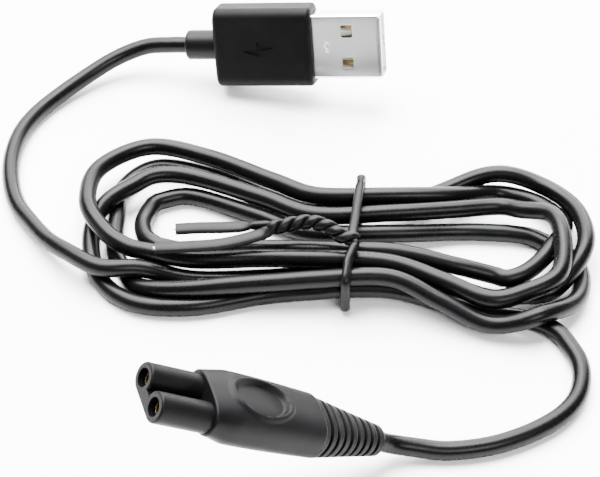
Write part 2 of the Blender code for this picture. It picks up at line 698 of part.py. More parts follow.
def finishes():
    return {
        "cord": material("cord_jacket", (0.030, 0.030, 0.033), 0.42),
        "mould": material("moulded_grip", (0.050, 0.050, 0.054), 0.55),
        "boot": material("ribbed_boot", (0.045, 0.045, 0.049), 0.6),
        "inner": material("inner_mould", (0.62, 0.62, 0.58), 0.5),
        "tongue": material("plug_tongue", (0.75, 0.75, 0.72), 0.45),
        "steel": material("tinned_steel", (0.78, 0.78, 0.77), 0.28, 1.0),
        "gold": material("plated_contacts", (0.83, 0.66, 0.32), 0.3, 1.0),
        "brass": material("brass_sockets", (0.72, 0.56, 0.27), 0.3, 1.0),
        "tie": material("tie_coating", (0.035, 0.035, 0.038), 0.3),
        "wire": material("tie_wire_steel", (0.55, 0.55, 0.56), 0.4, 1.0),
        "red": material("core_red", (0.55, 0.03, 0.03), 0.45),
        "black": material("core_black", (0.02, 0.02, 0.02), 0.45),
    }


def main():
    start()
    finish = finishes()
    plug_forward = COLLAR_LENGTH / 2
    plug = joint_frame("usb_bend_axis", PLUG_EXIT, PLUG_TURN, plug_forward)
    build_plug(plug, plug_forward, finish)
    connector_forward = BOOT_LENGTH / 2
    connector = joint_frame("connector_bend_axis", CONNECTOR_EXIT, CONNECTOR_TURN,
                            connector_forward)
    build_connector(connector, connector_forward, finish)
    cord("cord_usb_lead", lead_line(PLUG_EXIT, PLUG_TURN, USB_ROUTE), finish["cord"])
    cord("cord_connector_lead", lead_line(CONNECTOR_EXIT, CONNECTOR_TURN, CONNECTOR_ROUTE),
         finish["cord"])
    build_hank(finish)
    tie = joint_frame("tie_slide_axis", (13.0, 4.0, 0.0), (0, 0, 0), 0.0)
    build_tie(tie, finish)


main()
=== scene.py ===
"""The looks of a beard trimmer's charging lead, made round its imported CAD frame."""

import math

import bmesh
import bpy
import numpy as np
from mathutils import Euler, Matrix, Vector


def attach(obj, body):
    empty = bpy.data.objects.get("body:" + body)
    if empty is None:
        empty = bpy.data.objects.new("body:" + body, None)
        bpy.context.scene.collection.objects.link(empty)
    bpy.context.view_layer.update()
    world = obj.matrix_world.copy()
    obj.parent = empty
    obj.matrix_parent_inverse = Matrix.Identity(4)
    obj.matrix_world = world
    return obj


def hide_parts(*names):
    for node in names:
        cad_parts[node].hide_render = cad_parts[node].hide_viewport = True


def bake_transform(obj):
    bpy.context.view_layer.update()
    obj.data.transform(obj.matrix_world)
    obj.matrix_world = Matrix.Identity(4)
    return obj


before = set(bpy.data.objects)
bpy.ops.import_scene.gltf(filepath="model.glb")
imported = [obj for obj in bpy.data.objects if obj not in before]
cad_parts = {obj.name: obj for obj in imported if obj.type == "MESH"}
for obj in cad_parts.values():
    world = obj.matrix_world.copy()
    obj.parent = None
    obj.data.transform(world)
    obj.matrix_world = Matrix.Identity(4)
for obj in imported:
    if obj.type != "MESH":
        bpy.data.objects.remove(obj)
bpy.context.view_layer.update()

# ---- Floor, light and camera ------------------------------------------------------------
# A white studio table under a wide soft lamp, with a long low lamp behind, a weak one at the
# front, and a bright card high behind that the steel and the black plastics mirror. The camera
# looks down at 45 degrees through a long lens.

MM = 0.001
LOOK_AT = Vector((4.0, 7.9, 0.0)) * MM
EYE_BACK = 221.3 * MM
EYE_UP = 221.3 * MM
LENS = 108.9
CARD_WAY = (0.0, 0.72, 0.69)
CARD_EDGE = (0.74, 0.93)
ROOM_LIGHT = 0.25
CARD_LIGHT = 22.0


def table_finish():
    made = bpy.data.materials.new("table_white")
    made.use_nodes = True
    shader = made.node_tree.nodes["Principled BSDF"]
    shader.inputs["Base Color"].default_value = (0.95, 0.95, 0.955, 1.0)
    shader.inputs["Roughness"].default_value = 0.8
    shader.inputs["Specular IOR Level"].default_value = 0.1
    return made


def lamp(name, place, size, power):
    light = bpy.data.lights.new(name, "AREA")
    light.shape = "RECTANGLE"
    light.size = size[0]
    light.size_y = size[1]
    light.energy = power
    made = bpy.data.objects.new(name, light)
    made.location = place
    made.rotation_euler = (LOOK_AT - Vector(place)).to_track_quat("-Z", "Y").to_euler()
    bpy.context.scene.collection.objects.link(made)


bpy.ops.mesh.primitive_plane_add(size=4.0, location=(0.0, 0.0, 0.0))
table = bpy.context.object
table.name = "table"
table.data.materials.append(table_finish())

lamp("top_lamp", (-0.15, 0.30, 0.85), (0.90, 0.70), 90.0)
lamp("rear_lamp", (0.35, 0.85, 0.35), (0.9, 0.25), 14.0)
lamp("front_lamp", (0.35, -0.70, 0.75), (0.5, 0.35), 12.0)

world = bpy.data.worlds.new("studio")
world.use_nodes = True
world_nodes, world_links = world.node_tree.nodes, world.node_tree.links
direction = world_nodes.new("ShaderNodeTexCoord")
towards = world_nodes.new("ShaderNodeVectorMath")
towards.operation = "DOT_PRODUCT"
towards.inputs[1].default_value = CARD_WAY
card = world_nodes.new("ShaderNodeMapRange")
card.interpolation_type = "SMOOTHSTEP"
card.inputs["From Min"].default_value = CARD_EDGE[0]
card.inputs["From Max"].default_value = CARD_EDGE[1]
card.inputs["To Min"].default_value = ROOM_LIGHT
card.inputs["To Max"].default_value = CARD_LIGHT
world_links.new(direction.outputs["Generated"], towards.inputs[0])
world_links.new(towards.outputs["Value"], card.inputs["Value"])
world_links.new(card.outputs["Result"], world_nodes["Background"].inputs["Strength"])
world_nodes["Background"].inputs["Color"].default_value = (1.0, 1.0, 1.0, 1.0)
bpy.context.scene.world = world

camera = bpy.data.objects.new("camera", bpy.data.cameras.new("camera"))
camera.data.lens = LENS
camera.data.sensor_width = 36.0
camera.data.clip_start = 0.01
camera.location = LOOK_AT + Vector((0.0, -EYE_BACK, EYE_UP))
camera.rotation_euler = (LOOK_AT - camera.location).to_track_quat("-Z", "Y").to_euler()
bpy.context.scene.collection.objects.link(camera)
bpy.context.scene.camera = camera

# ---- Cord -------------------------------------------------------------------------------
# Two-core cord in a round black PVC jacket, 3.1 mm across and about 1 m long. It leaves the
# plug, is wound 4 1/2 times round the hank, and runs out underneath to the connector.

CORD_RADIUS = 1.55
TOUCH = 0.04
TIE_THICKNESS = 1.3
LIFT = (6.5, 19.5)

USB_EXIT = Vector((-16.9, 52.0, 7.1))
USB_TURN = (68.0, -8.7, -10.5)
CONNECTOR_EXIT = Vector((15.6, -40.4, 4.9))
CONNECTOR_TURN = (0.0, -35.0, -162.0)

USB_ROUTE = [
    (-25, 53.3, 5.6), (-30.5, 51.9, 4), (-35.5, 48.7, 2.6), (-40.2, 44.3, 1.8),
    (-44.2, 39.1, 1.55), (-46.7, 33.4, 1.55), (-47.6, 26.9, 1.55), (-47, 20.4, 1.55),
    (-45.3, 14.7, 1.7), (-42.4, 9.7, 2.2), (-39, 4.6, 3.1), (-35.4, 0.9, 4.1),
]
CONNECTOR_ROUTE = [
    (21.9, -39.5, 2.1), (26, -39.7, 1.6), (30.5, -39.3, 1.55), (35, -38.2, 1.55),
    (40.2, -35.9, 1.55), (44.6, -32.9, 1.55), (47.4, -29.5, 1.55), (48.7, -25.7, 1.55),
    (48.8, -21.9, 1.55), (47.6, -18.3, 1.55), (45.7, -15.1, 1.7),
]

# The hank's outline, run anticlockwise from its lower left, with the waist at x = 13.
OUTLINE = [
    (-30.6, -4.7), (-23.5, -9.5), (-13.5, -10.3), (-2, -8.5), (7.5, -8.1), (18.5, -8.1),
    (26.5, -11.3), (34.5, -14.7), (42.2, -14.1), (49.6, -9.1), (53.6, -0.1), (52.6, 9.4),
    (47, 16.9), (38.5, 19.7), (28.5, 17.3), (18.5, 14.5), (7.5, 14.5), (0, 18.4),
    (-11.5, 24.5), (-22.6, 26.5), (-30.6, 19.9), (-33, 10.9), (-33.4, 2.9),
]

# Each turn of the cord: how far inside the outline it runs and how high it lies, at places
# round the hank. The first joins the plug's lead, and the last leaves underneath.
PLACES = (0, 1, 3, 4, 5, 6, 7, 8, 9, 10, 11, 12, 13, 14, 15, 17, 18, 19, 20, 21, 22)
TURNS = [
    [(1.8, 4.6), (6.5, 3.6), (5.5, 1.6), (5.0, 2.3), (4.3, 2.9), (6.2, 2.4), (7.2, 1.6),
     (7.4, 1.6), (4.0, 1.9), (1.7, 4.4), (1.4, 4.2), (1.4, 3.8), (1.5, 4.6), (1.4, 2.8),
     (3.3, 2.9), (2.7, 1.8), (2.5, 1.6), (2.5, 1.6), (3.2, 1.6), (4.6, 1.6), (5.6, 1.6)],
    [(6.0, 1.6), (3.9, 2.4), (1.0, 4.2), (1.0, 4.8), (1.0, 5.3), (0.6, 3.6), (0.3, 1.7),
     (-0.2, 3.2), (0.8, 1.8), (3.6, 1.6), (8.6, 1.6), (11.5, 1.6), (11.9, 1.6), (9.6, 1.6),
     (8.2, 2.9), (7.6, 2.2), (8.3, 1.7), (11.0, 1.6), (10.5, 1.6), (10.2, 2.6), (11.4, 4.0)],
    [(12.4, 4.4), (12.3, 4.4), (10.2, 4.4), (8.8, 5.0), (7.6, 5.5), (9.0, 4.2), (10.9, 2.4),
     (10.0, 2.2), (9.4, 2.2), (7.6, 2.2), (3.4, 1.8), (2.6, 1.6), (1.6, 1.6), (3.0, 4.6),
     (1.7, 5.4), (1.5, 5.2), (1.2, 5.0), (0.5, 4.9), (-0.2, 4.6), (1.2, 4.5), (4.8, 4.6)],
    [(7.3, 4.7), (8.4, 4.6), (6.2, 4.8), (5.2, 5.2), (4.2, 5.5), (3.8, 5.2), (3.4, 4.7),
     (4.2, 4.7), (3.8, 4.9), (5.6, 4.9), (6.3, 4.8), (8.7, 3.8), (8.0, 3.2), (7.0, 4.2),
     (5.5, 5.2), (5.4, 4.2), (6.4, 3.4), (7.7, 3.0), (6.4, 2.0), (2.2, 1.6), (2.0, 1.6)],
    [(1.9, 1.6), (1.5, 1.6), (1.9, 1.6), (1.5, 2.2), (1.2, 2.9), (2.6, 1.9), (3.6, 1.6),
     (1.6, 1.6)],
]
SAG = 0.004
LARGEST_MOVE = 0.4
ROUNDS = 160
HELD_START = 75
HELD_END = 45


def turn_of(degrees):
    return Euler([math.radians(a) for a in degrees], "XYZ").to_matrix()


def eased(places, values, at):
    """A value between key places, on a smooth curve that doesn't swing past them."""
    i = int(np.clip(np.searchsorted(places, at) - 1, 0, len(places) - 2))
    t = np.clip((at - places[i]) / (places[i + 1] - places[i]), 0.0, 1.0)
    t = t * t * (3 - 2 * t)
    return values[i] * (1 - t) + values[i + 1] * t


def wound_points():
    """The cord's points round the hank, one for each outline point of each turn."""
    count = len(OUTLINE)
    keys, inset, height = [], [], []
    for number, turn in enumerate(TURNS):
        for place, (d, z) in zip(PLACES, turn):
            keys.append(number * count + place)
            inset.append(d)
            height.append(z)
    points = []
    for step in range(keys[0], keys[-1] + 1):
        before, here, after = (Vector(OUTLINE[(step + k) % count]) for k in (-1, 0, 1))
        along = (after - before).normalized()
        spot = here + Vector((-along.y, along.x)) * eased(keys, inset, step)
        points.append((spot.x, spot.y, eased(keys, height, step)))
    return points


def smooth_line(points, step):
    """Points at an even step along a smooth curve through the given points."""
    held = np.array([tuple(p) for p in points], float)
    held = np.vstack([2 * held[0] - held[1], held, 2 * held[-1] - held[-2]])
    t = np.linspace(0, 1, 16, endpoint=False)[:, None]
    fine = []
    for a, b, c, d in zip(held, held[1:], held[2:], held[3:]):
        fine.append(0.5 * (2 * b + (c - a) * t + (2 * a - 5 * b + 4 * c - d) * t ** 2
                           + (3 * b - a - 3 * c + d) * t ** 3))
    fine = np.vstack(fine + [held[-2:-1]])
    run = np.append(0, np.cumsum(np.linalg.norm(np.diff(fine, axis=0), axis=1)))
    goals = np.linspace(0, run[-1], max(2, int(round(run[-1] / step))) + 1)
    return np.stack([np.interp(goals, run, fine[:, k]) for k in range(3)], axis=1)


def settled(line, rounds, first, last):
    """The line with its strands pushed apart until they touch, on the table or the tie."""
    start = line.copy()
    index = np.arange(len(line))
    free = np.clip(np.minimum(index - first, last - index) / 12, 0, 1)[:, None]
    kernel = np.array([1, 3, 6, 9, 11, 9, 6, 3, 1], float)
    kernel /= kernel.sum()
    reach = 2 * CORD_RADIUS + TOUCH
    for number in range(rounds):
        if number % 10 == 0:
            far = np.linalg.norm(line[:, None, :] - line[None, :, :], axis=2)
            one, two = np.nonzero((far < reach + 1.5) & (index[None, :] > index[:, None] + 8))
        gap = line[one] - line[two]
        far = np.linalg.norm(gap, axis=1) + 1e-9
        push = (np.maximum(reach - far, 0) / far)[:, None] * gap * 0.3
        move = np.zeros_like(line)
        np.add.at(move, one, push)
        np.add.at(move, two, -push)
        over_tie = np.clip(np.minimum(line[:, 0] - LIFT[0], LIFT[1] - line[:, 0]) / 3, 0, 1)
        low = CORD_RADIUS + 0.02 + TIE_THICKNESS * over_tie
        line = line + np.clip(move, -LARGEST_MOVE, LARGEST_MOVE) * free
        shift = line - start
        soft = np.stack([np.convolve(np.pad(shift[:, k], 4, mode="edge"), kernel, "valid")
                         for k in range(3)], axis=1)
        line = start + soft * free
        line[:, 2] = np.maximum(line[:, 2] - SAG * free[:, 0], low)
    return line


def cord_line():
    """The whole centreline in millimetres, from the plug's collar to the connector's boot."""
    out_usb = turn_of(USB_TURN) @ Vector((-1, 0, 0))
    out_connector = turn_of(CONNECTOR_TURN) @ Vector((-1, 0, 0))
    first = [USB_EXIT + 0.15 * out_usb, USB_EXIT + 2 * CORD_RADIUS * out_usb]
    last = [CONNECTOR_EXIT + 2 * CORD_RADIUS * out_connector,
            CONNECTOR_EXIT + 0.15 * out_connector]
    route = first + USB_ROUTE + wound_points() + CONNECTOR_ROUTE[::-1] + last
    line = smooth_line(route, 1.0)
    return settled(line, ROUNDS, HELD_START, len(line) - HELD_END)


centreline = cord_line()

# The jacket is smooth PVC: nearly black, a little dulled in patches, with a faint drawn grain.
def moulded(name, tone, spread, sheen, patch, grain, depth, gleam=0.5):
    """A dark or pale plastic. patch and grain are the sizes of its blotches and its texture,
    and depth is how far the texture stands up, all in millimetres."""
    made = bpy.data.materials.new(name)
    made.use_nodes = True
    nodes, links = made.node_tree.nodes, made.node_tree.links
    shader = nodes["Principled BSDF"]
    shader.inputs["Specular IOR Level"].default_value = gleam
    where = nodes.new("ShaderNodeTexCoord")
    blotch = nodes.new("ShaderNodeTexNoise")
    blotch.inputs["Scale"].default_value = 1 / (patch * MM)
    blotch.inputs["Detail"].default_value = 4.0
    tones = nodes.new("ShaderNodeValToRGB")
    tones.color_ramp.elements[0].position = 0.3
    tones.color_ramp.elements[1].position = 0.7
    tones.color_ramp.elements[0].color = (*[c * (1 - spread) for c in tone], 1)
    tones.color_ramp.elements[1].color = (*[c * (1 + spread) for c in tone], 1)
    texture = nodes.new("ShaderNodeTexNoise")
    texture.inputs["Scale"].default_value = 1 / (grain * MM)
    texture.inputs["Detail"].default_value = 3.0
    texture.inputs["Roughness"].default_value = 0.65
    mixed = nodes.new("ShaderNodeMath")
    mixed.operation = "ADD"
    gloss = nodes.new("ShaderNodeMapRange")
    gloss.inputs["From Min"].default_value = 0.6
    gloss.inputs["From Max"].default_value = 1.4
    gloss.inputs["To Min"].default_value = sheen - 0.08
    gloss.inputs["To Max"].default_value = sheen + 0.08
    relief = nodes.new("ShaderNodeBump")
    relief.inputs["Strength"].default_value = 1.0
    relief.inputs["Distance"].default_value = depth * MM
    links.new(where.outputs["Object"], blotch.inputs["Vector"])
    links.new(where.outputs["Object"], texture.inputs["Vector"])
    links.new(blotch.outputs["Fac"], tones.inputs["Fac"])
    links.new(blotch.outputs["Fac"], mixed.inputs[0])
    links.new(texture.outputs["Fac"], mixed.inputs[1])
    links.new(mixed.outputs["Value"], gloss.inputs["Value"])
    links.new(tones.outputs["Color"], shader.inputs["Base Color"])
    links.new(gloss.outputs["Result"], shader.inputs["Roughness"])
    links.new(texture.outputs["Fac"], relief.inputs["Height"])
    links.new(relief.outputs["Normal"], shader.inputs["Normal"])
    return made


jacket = moulded("cord_jacket", (0.0012, 0.0012, 0.0014), 0.25, 0.30, 12.0, 0.5, 0.004, 0.09)


def round_cord(name, line, radius, finish):
    """A capped round tube along a line of millimetre points, as one open spline."""
    curve = bpy.data.curves.new(name, "CURVE")
    curve.dimensions = "3D"
    curve.bevel_depth = radius * MM
    curve.bevel_resolution = 6
    curve.use_fill_caps = True
    spline = curve.splines.new("POLY")
    spline.points.add(len(line) - 1)
    for point, spot in zip(spline.points, line):
        point.co = (*(float(c) * MM for c in spot), 1.0)
    spline.use_smooth = True
    curve.materials.append(finish)
    made = bpy.data.objects.new(name, curve)
    bpy.context.scene.collection.objects.link(made)
    return made


cord = round_cord("wound_cord", centreline, CORD_RADIUS, jacket)
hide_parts("cord_usb_lead", "cord_hank", "cord_connector_lead")
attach(cord, "cord")

# ---- Plug shell -------------------------------------------------------------------------
# Stamped steel sheet, 0.3 mm thick, folded to a box of 12.0 by 4.5 mm with its seam
# underneath. Two windows in each wide face take the socket's springs.

GAP = 0.3
PLUG = Matrix.Translation(USB_EXIT * MM) @ turn_of(USB_TURN).to_4x4() @ Matrix.Scale(MM, 4)
COLLAR_LENGTH = 5.9
GRIP_FRONT_X = COLLAR_LENGTH + 18.5
SHELL_START = GRIP_FRONT_X - 6.0
MOUTH_X = GRIP_FRONT_X + 12.7
SHELL_WIDTH = 12.0
SHELL_HEIGHT = 4.5
SHEET = 0.3
FOLD_RADIUS = 0.55
WINDOW = (2.1, 2.4)
WINDOW_X = MOUTH_X - 5.2 - WINDOW[0] / 2
WINDOW_Y = 3.0
WINDOW_CORNER = 0.28
SEAM_GAP = 0.08
SEAM_CUT = 0.62
LOCK_SIZE = (0.42, 0.85)
LOCK_GROOVE = 0.17
LOCK_X = GRIP_FRONT_X + 2.7


def rounded_ring(width, height, radius, steps=6, crown=0.0):
    """A rounded rectangle in Y and Z, run anticlockwise. crown arches its two long sides."""
    ring = []
    for corner, (sy, sz) in enumerate(((1, 1), (-1, 1), (-1, -1), (1, -1))):
        middle_y = sy * (width / 2 - radius)
        middle_z = sz * (height / 2 - radius)
        for step in range(steps + 1):
            angle = math.pi / 2 * (corner + step / steps)
            ring.append((middle_y + radius * math.cos(angle),
                         middle_z + radius * math.sin(angle)))
        if corner in (0, 2):
            edge = width / 2 - radius
            ring += [(sy * edge * (1 - k / 5), sz * height / 2) for k in range(1, 10)]
    return [(y, z * (1 + crown * (1 - (2 * y / width) ** 2))) for y, z in ring]


def skinned(rings, capped=True):
    """A surface over rings of (x, y, z) points, each with the same number of points."""
    shape = bmesh.new()
    rows = [[shape.verts.new(point) for point in ring] for ring in rings]
    for first, second in zip(rows, rows[1:]):
        for i in range(len(first)):
            j = (i + 1) % len(first)
            shape.faces.new((first[i], first[j], second[j], second[i]))
    if capped:
        shape.faces.new(rows[0][::-1])
        shape.faces.new(rows[-1])
    return shape


def made_of(name, shape, finish=None):
    """A bmesh as an object, still in its own millimetres."""
    bmesh.ops.remove_doubles(shape, verts=shape.verts, dist=0.0005)
    bmesh.ops.recalc_face_normals(shape, faces=shape.faces)
    mesh = bpy.data.meshes.new(name)
    shape.to_mesh(mesh)
    shape.free()
    if finish:
        mesh.materials.append(finish)
    made = bpy.data.objects.new(name, mesh)
    bpy.context.scene.collection.objects.link(made)
    return made


def baked(made):
    """Apply an object's modifiers to its mesh."""
    bpy.context.view_layer.update()
    graph = bpy.context.evaluated_depsgraph_get()
    mesh = bpy.data.meshes.new_from_object(made.evaluated_get(graph))
    made.modifiers.clear()
    made.data = mesh


def carved(made, *cutters):
    """Take the cutters away from a piece, and the cutters out of the scene."""
    for cutter in cutters:
        step = made.modifiers.new("cut", "BOOLEAN")
        step.object = cutter
        step.solver = "EXACT"
    baked(made)
    for cutter in cutters:
        bpy.data.objects.remove(cutter, do_unlink=True)


def softened(made, width, angle=40, segments=2):
    """Round the sharp edges a little, as every moulded or stamped edge is."""
    step = made.modifiers.new("edges", "BEVEL")
    step.width = width
    step.segments = segments
    step.limit_method = "ANGLE"
    step.angle_limit = math.radians(angle)
    step.use_clamp_overlap = True
    baked(made)


def set_down(made, place, node, body, sharp=32):
    """Move the finished mesh to its place on the lead, and take over its CAD node."""
    made.data.transform(place)
    made.data.shade_smooth()
    made.data.set_sharp_from_angle(angle=math.radians(sharp))
    even = made.modifiers.new("even", "WEIGHTED_NORMAL")
    even.keep_sharp = True
    even.weight = 100
    baked(made)
    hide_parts(node)
    if body:
        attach(made, body)


def pill(width, length, low, high, x, y, steps=8):
    """An upright cutter with rounded corners, length along X and width along Y."""
    ring = rounded_ring(width, length, WINDOW_CORNER, steps)
    return made_of("pill", skinned([[(x + b, y + a, z) for a, b in ring] for z in (low, high)]))


def metal(name, tone, spread, sheen, grain, depth, turn=(0, 0, 0)):
    """A bare metal with a drawn grain along the piece's X, and clouded by handling."""
    made = bpy.data.materials.new(name)
    made.use_nodes = True
    nodes, links = made.node_tree.nodes, made.node_tree.links
    shader = nodes["Principled BSDF"]
    shader.inputs["Metallic"].default_value = 1.0
    where = nodes.new("ShaderNodeTexCoord")
    along = nodes.new("ShaderNodeMapping")
    along.vector_type = "TEXTURE"
    along.inputs["Rotation"].default_value = [math.radians(a) for a in turn]
    along.inputs["Scale"].default_value = (14.0, 1.0, 1.0)
    lines = nodes.new("ShaderNodeTexNoise")
    lines.inputs["Scale"].default_value = 1 / (grain * MM)
    lines.inputs["Detail"].default_value = 4.0
    cloud = nodes.new("ShaderNodeTexNoise")
    cloud.inputs["Scale"].default_value = 1 / (3.0 * MM)
    cloud.inputs["Detail"].default_value = 3.0
    tones = nodes.new("ShaderNodeValToRGB")
    tones.color_ramp.elements[0].position = 0.3
    tones.color_ramp.elements[1].position = 0.7
    tones.color_ramp.elements[0].color = (*[c * (1 - spread) for c in tone], 1)
    tones.color_ramp.elements[1].color = (*[min(1, c * (1 + spread)) for c in tone], 1)
    gloss = nodes.new("ShaderNodeMapRange")
    gloss.inputs["From Min"].default_value = 0.3
    gloss.inputs["From Max"].default_value = 0.7
    gloss.inputs["To Min"].default_value = sheen - 0.03
    gloss.inputs["To Max"].default_value = sheen + 0.04
    relief = nodes.new("ShaderNodeBump")
    relief.inputs["Strength"].default_value = 1.0
    relief.inputs["Distance"].default_value = depth * MM
    links.new(where.outputs["Object"], along.inputs["Vector"])
    links.new(along.outputs["Vector"], lines.inputs["Vector"])
    links.new(where.outputs["Object"], cloud.inputs["Vector"])
    links.new(cloud.outputs["Fac"], tones.inputs["Fac"])
    links.new(lines.outputs["Fac"], gloss.inputs["Value"])
    links.new(tones.outputs["Color"], shader.inputs["Base Color"])
    links.new(gloss.outputs["Result"], shader.inputs["Roughness"])
    links.new(lines.outputs["Fac"], relief.inputs["Height"])
    links.new(relief.outputs["Normal"], shader.inputs["Normal"])
    return made


bright_steel = metal("tinned_steel", (0.90, 0.90, 0.90), 0.02, 0.20, 0.10, 0.0002, USB_TURN)


def shell_sheet():
    """The folded sheet, its mouth turned in a little to lead it into a socket."""
    rings = []
    for x, tuck in ((SHELL_START, 0.0), (MOUTH_X - 0.9, 0.0), (MOUTH_X - 0.35, 0.03),
                    (MOUTH_X, 0.12)):
        outside = rounded_ring(SHELL_WIDTH - 2 * tuck, SHELL_HEIGHT - 2 * tuck, FOLD_RADIUS)
        rings.append([(x, y, z) for y, z in outside])
    for x, tuck in ((MOUTH_X, 0.12), (MOUTH_X - 0.9, 0.0), (SHELL_START, 0.0)):
        inside = rounded_ring(SHELL_WIDTH - 2 * SHEET - 2 * tuck,
                              SHELL_HEIGHT - 2 * SHEET - 2 * tuck, FOLD_RADIUS - SHEET + 0.02)
        rings.append([(x, y, z) for y, z in inside])
    return skinned(rings + rings[:1], capped=False)


def lock_mark():
    """The small stamped oval that locks the sheet's ends, as a ring-shaped groove."""
    rings = []
    for step in range(25):
        angle = 2 * math.pi * step / 24
        out = Vector((LOCK_SIZE[0] * math.cos(angle), LOCK_SIZE[1] * math.sin(angle), 0))
        spot = Vector((LOCK_X, 0, SHELL_HEIGHT / 2)) + out
        rings.append([tuple(spot + LOCK_GROOVE * math.cos(a) * out.normalized()
                            + Vector((0, 0, LOCK_GROOVE * math.sin(a))))
                      for a in [math.pi * k / 4 for k in range(8)]])
    return made_of("lock_mark", skinned(rings, capped=False))


shell = made_of("plug_shell", shell_sheet(), bright_steel)
half = SHELL_HEIGHT
windows = [pill(WINDOW[1], WINDOW[0], -half, half, WINDOW_X, side * WINDOW_Y)
           for side in (-1, 1)]
seam = pill(SEAM_CUT, MOUTH_X - SHELL_START + 2, -half, 0, (MOUTH_X + SHELL_START) / 2, 0.0)
seam.scale = (1.0, SEAM_GAP / SEAM_CUT, 1.0)
carved(shell, *windows, lock_mark(), seam)
softened(shell, 0.05)
set_down(shell, PLUG, "usb_shell", "usb_plug")

# ---- Tongue and contacts ----------------------------------------------------------------
# A white glass-filled tongue carries four gold-plated strips, which show in the windows.

white_tongue = moulded("plug_tongue", (0.72, 0.71, 0.67), 0.06, 0.42, 2.0, 0.25, 0.008)
gold_plate = metal("plated_contacts", (0.34, 0.25, 0.11), 0.10, 0.22, 0.12, 0.002, USB_TURN)


def refinish(node, finish):
    """Give a CAD node its own finish in every slot."""
    slots = bpy.data.objects[node].material_slots
    for slot in slots:
        slot.material = finish


refinish("usb_tongue", white_tongue)
for node in ("contact_vbus", "contact_data_minus", "contact_data_plus", "contact_ground"):
    refinish(node, gold_plate)

# ---- Inside the plug --------------------------------------------------------------------
# The cores fan out of the cord to the contacts, and a natural-coloured block is moulded
# round them before the grip goes on.

natural_block = moulded("inner_mould", (0.62, 0.61, 0.55), 0.08, 0.50, 4.0, 0.3, 0.012)
red_core = moulded("core_red", (0.52, 0.025, 0.02), 0.12, 0.38, 3.0, 0.3, 0.004)
black_core = moulded("core_black", (0.014, 0.014, 0.015), 0.2, 0.38, 3.0, 0.3, 0.004)

refinish("usb_premould", natural_block)
refinish("usb_core_positive", red_core)
refinish("usb_core_negative", black_core)

# ---- Plug grip --------------------------------------------------------------------------
# Charcoal PVC moulded over the shell's seat, 18.5 by 14.8 by 7.6 mm, with a fine spark-
# eroded grain, rounded ends and a shallow charging mark pressed in its top face.

GRIP_WIDTH = 14.8
GRIP_HEIGHT = 7.6
GRIP_CORNER = 1.9
GRIP_END_ROUND = 0.8
CROWN = 0.05
MARK_X = COLLAR_LENGTH + 8.6
MARK_DEPTH = 0.22
MARK = [(2.9, 0.35), (-0.35, 1.45), (-0.1, 0.35), (-2.9, -0.35), (0.35, -1.45), (0.1, -0.35)]

grip_plastic = moulded("moulded_grip", (0.0012, 0.0012, 0.0014), 0.16, 0.50, 5.0, 0.13, 0.024, 0.05)


def end_rounds(start, end, radius, steps=5):
    """Places along X, with how far the section is drawn in at each to round both ends."""
    turns = [math.pi / 2 * k / steps for k in range(steps + 1)]
    first = [(start + radius * (1 - math.sin(a)), radius * (1 - math.cos(a)))
             for a in reversed(turns)]
    last = [(end - radius * (1 - math.sin(a)), radius * (1 - math.cos(a))) for a in turns]
    return first + [(start + share * (end - start), 0.0) for share in (0.25, 0.5, 0.75)] + last


def plug_grip_body():
    rings = []
    for x, inset in end_rounds(COLLAR_LENGTH, GRIP_FRONT_X, GRIP_END_ROUND):
        ring = rounded_ring(GRIP_WIDTH - 2 * inset, (GRIP_HEIGHT - 2 * inset) / (1 + CROWN),
                            GRIP_CORNER, 8, CROWN)
        rings.append([(x, y, z) for y, z in ring])
    return skinned(rings)


def box_cutter(name, start, end, width, height, radius, z=0.0):
    ring = rounded_ring(width, height, radius)
    return made_of(name, skinned([[(x, y, z + h) for y, h in ring] for x in (start, end)]))


def mark_cutter():
    """A plain bolt, sunk into the top face."""
    top = GRIP_HEIGHT / 2
    return made_of("mark", skinned([[(MARK_X + x, y, z) for x, y in MARK]
                                    for z in (top - MARK_DEPTH, top + 1)]))


plug_grip = made_of("plug_grip", plug_grip_body(), grip_plastic)
shell_way = box_cutter("shell_way", SHELL_START - GAP, GRIP_FRONT_X + 1, SHELL_WIDTH + 0.16,
                       SHELL_HEIGHT + 0.16, FOLD_RADIUS + 0.08)
block_way = box_cutter("block_way", COLLAR_LENGTH + 2.2 - GAP, SHELL_START, 11.4 + 2 * GAP,
                       4.9 + 2 * GAP, 0.6)
cord_way = made_of("cord_way", skinned([
    [(x, (CORD_RADIUS + GAP) * math.cos(a), (CORD_RADIUS + GAP) * math.sin(a))
     for a in [2 * math.pi * k / 32 for k in range(32)]]
    for x in (COLLAR_LENGTH - 1, COLLAR_LENGTH + 3)]))
carved(plug_grip, mark_cutter(), shell_way, block_way, cord_way)
softened(plug_grip, 0.07, 50)
set_down(plug_grip, PLUG, "usb_overmould", "usb_plug")

# ---- Plug collar ------------------------------------------------------------------------
# The short neck that the cord leaves by, moulded in one shot with the grip. The real one bends
# with the cord, as does the end of the cord inside it; here both are set down fixed, on no body.

COLLAR_WALL = 1.2
COLLAR_ROUND = 0.55


def turned(profile, sides=48):
    """A closed outline of (x, radius) points turned about X."""
    rings = []
    for side in range(sides + 1):
        angle = 2 * math.pi * side / sides
        rings.append([(x, r * math.cos(angle), r * math.sin(angle)) for x, r in profile])
    return skinned(rings, capped=False)


def span(start, end, step):
    """Even places from start to end, start left out."""
    count = max(1, round(abs(end - start) / step))
    return [start + (end - start) * k / count for k in range(1, count + 1)]


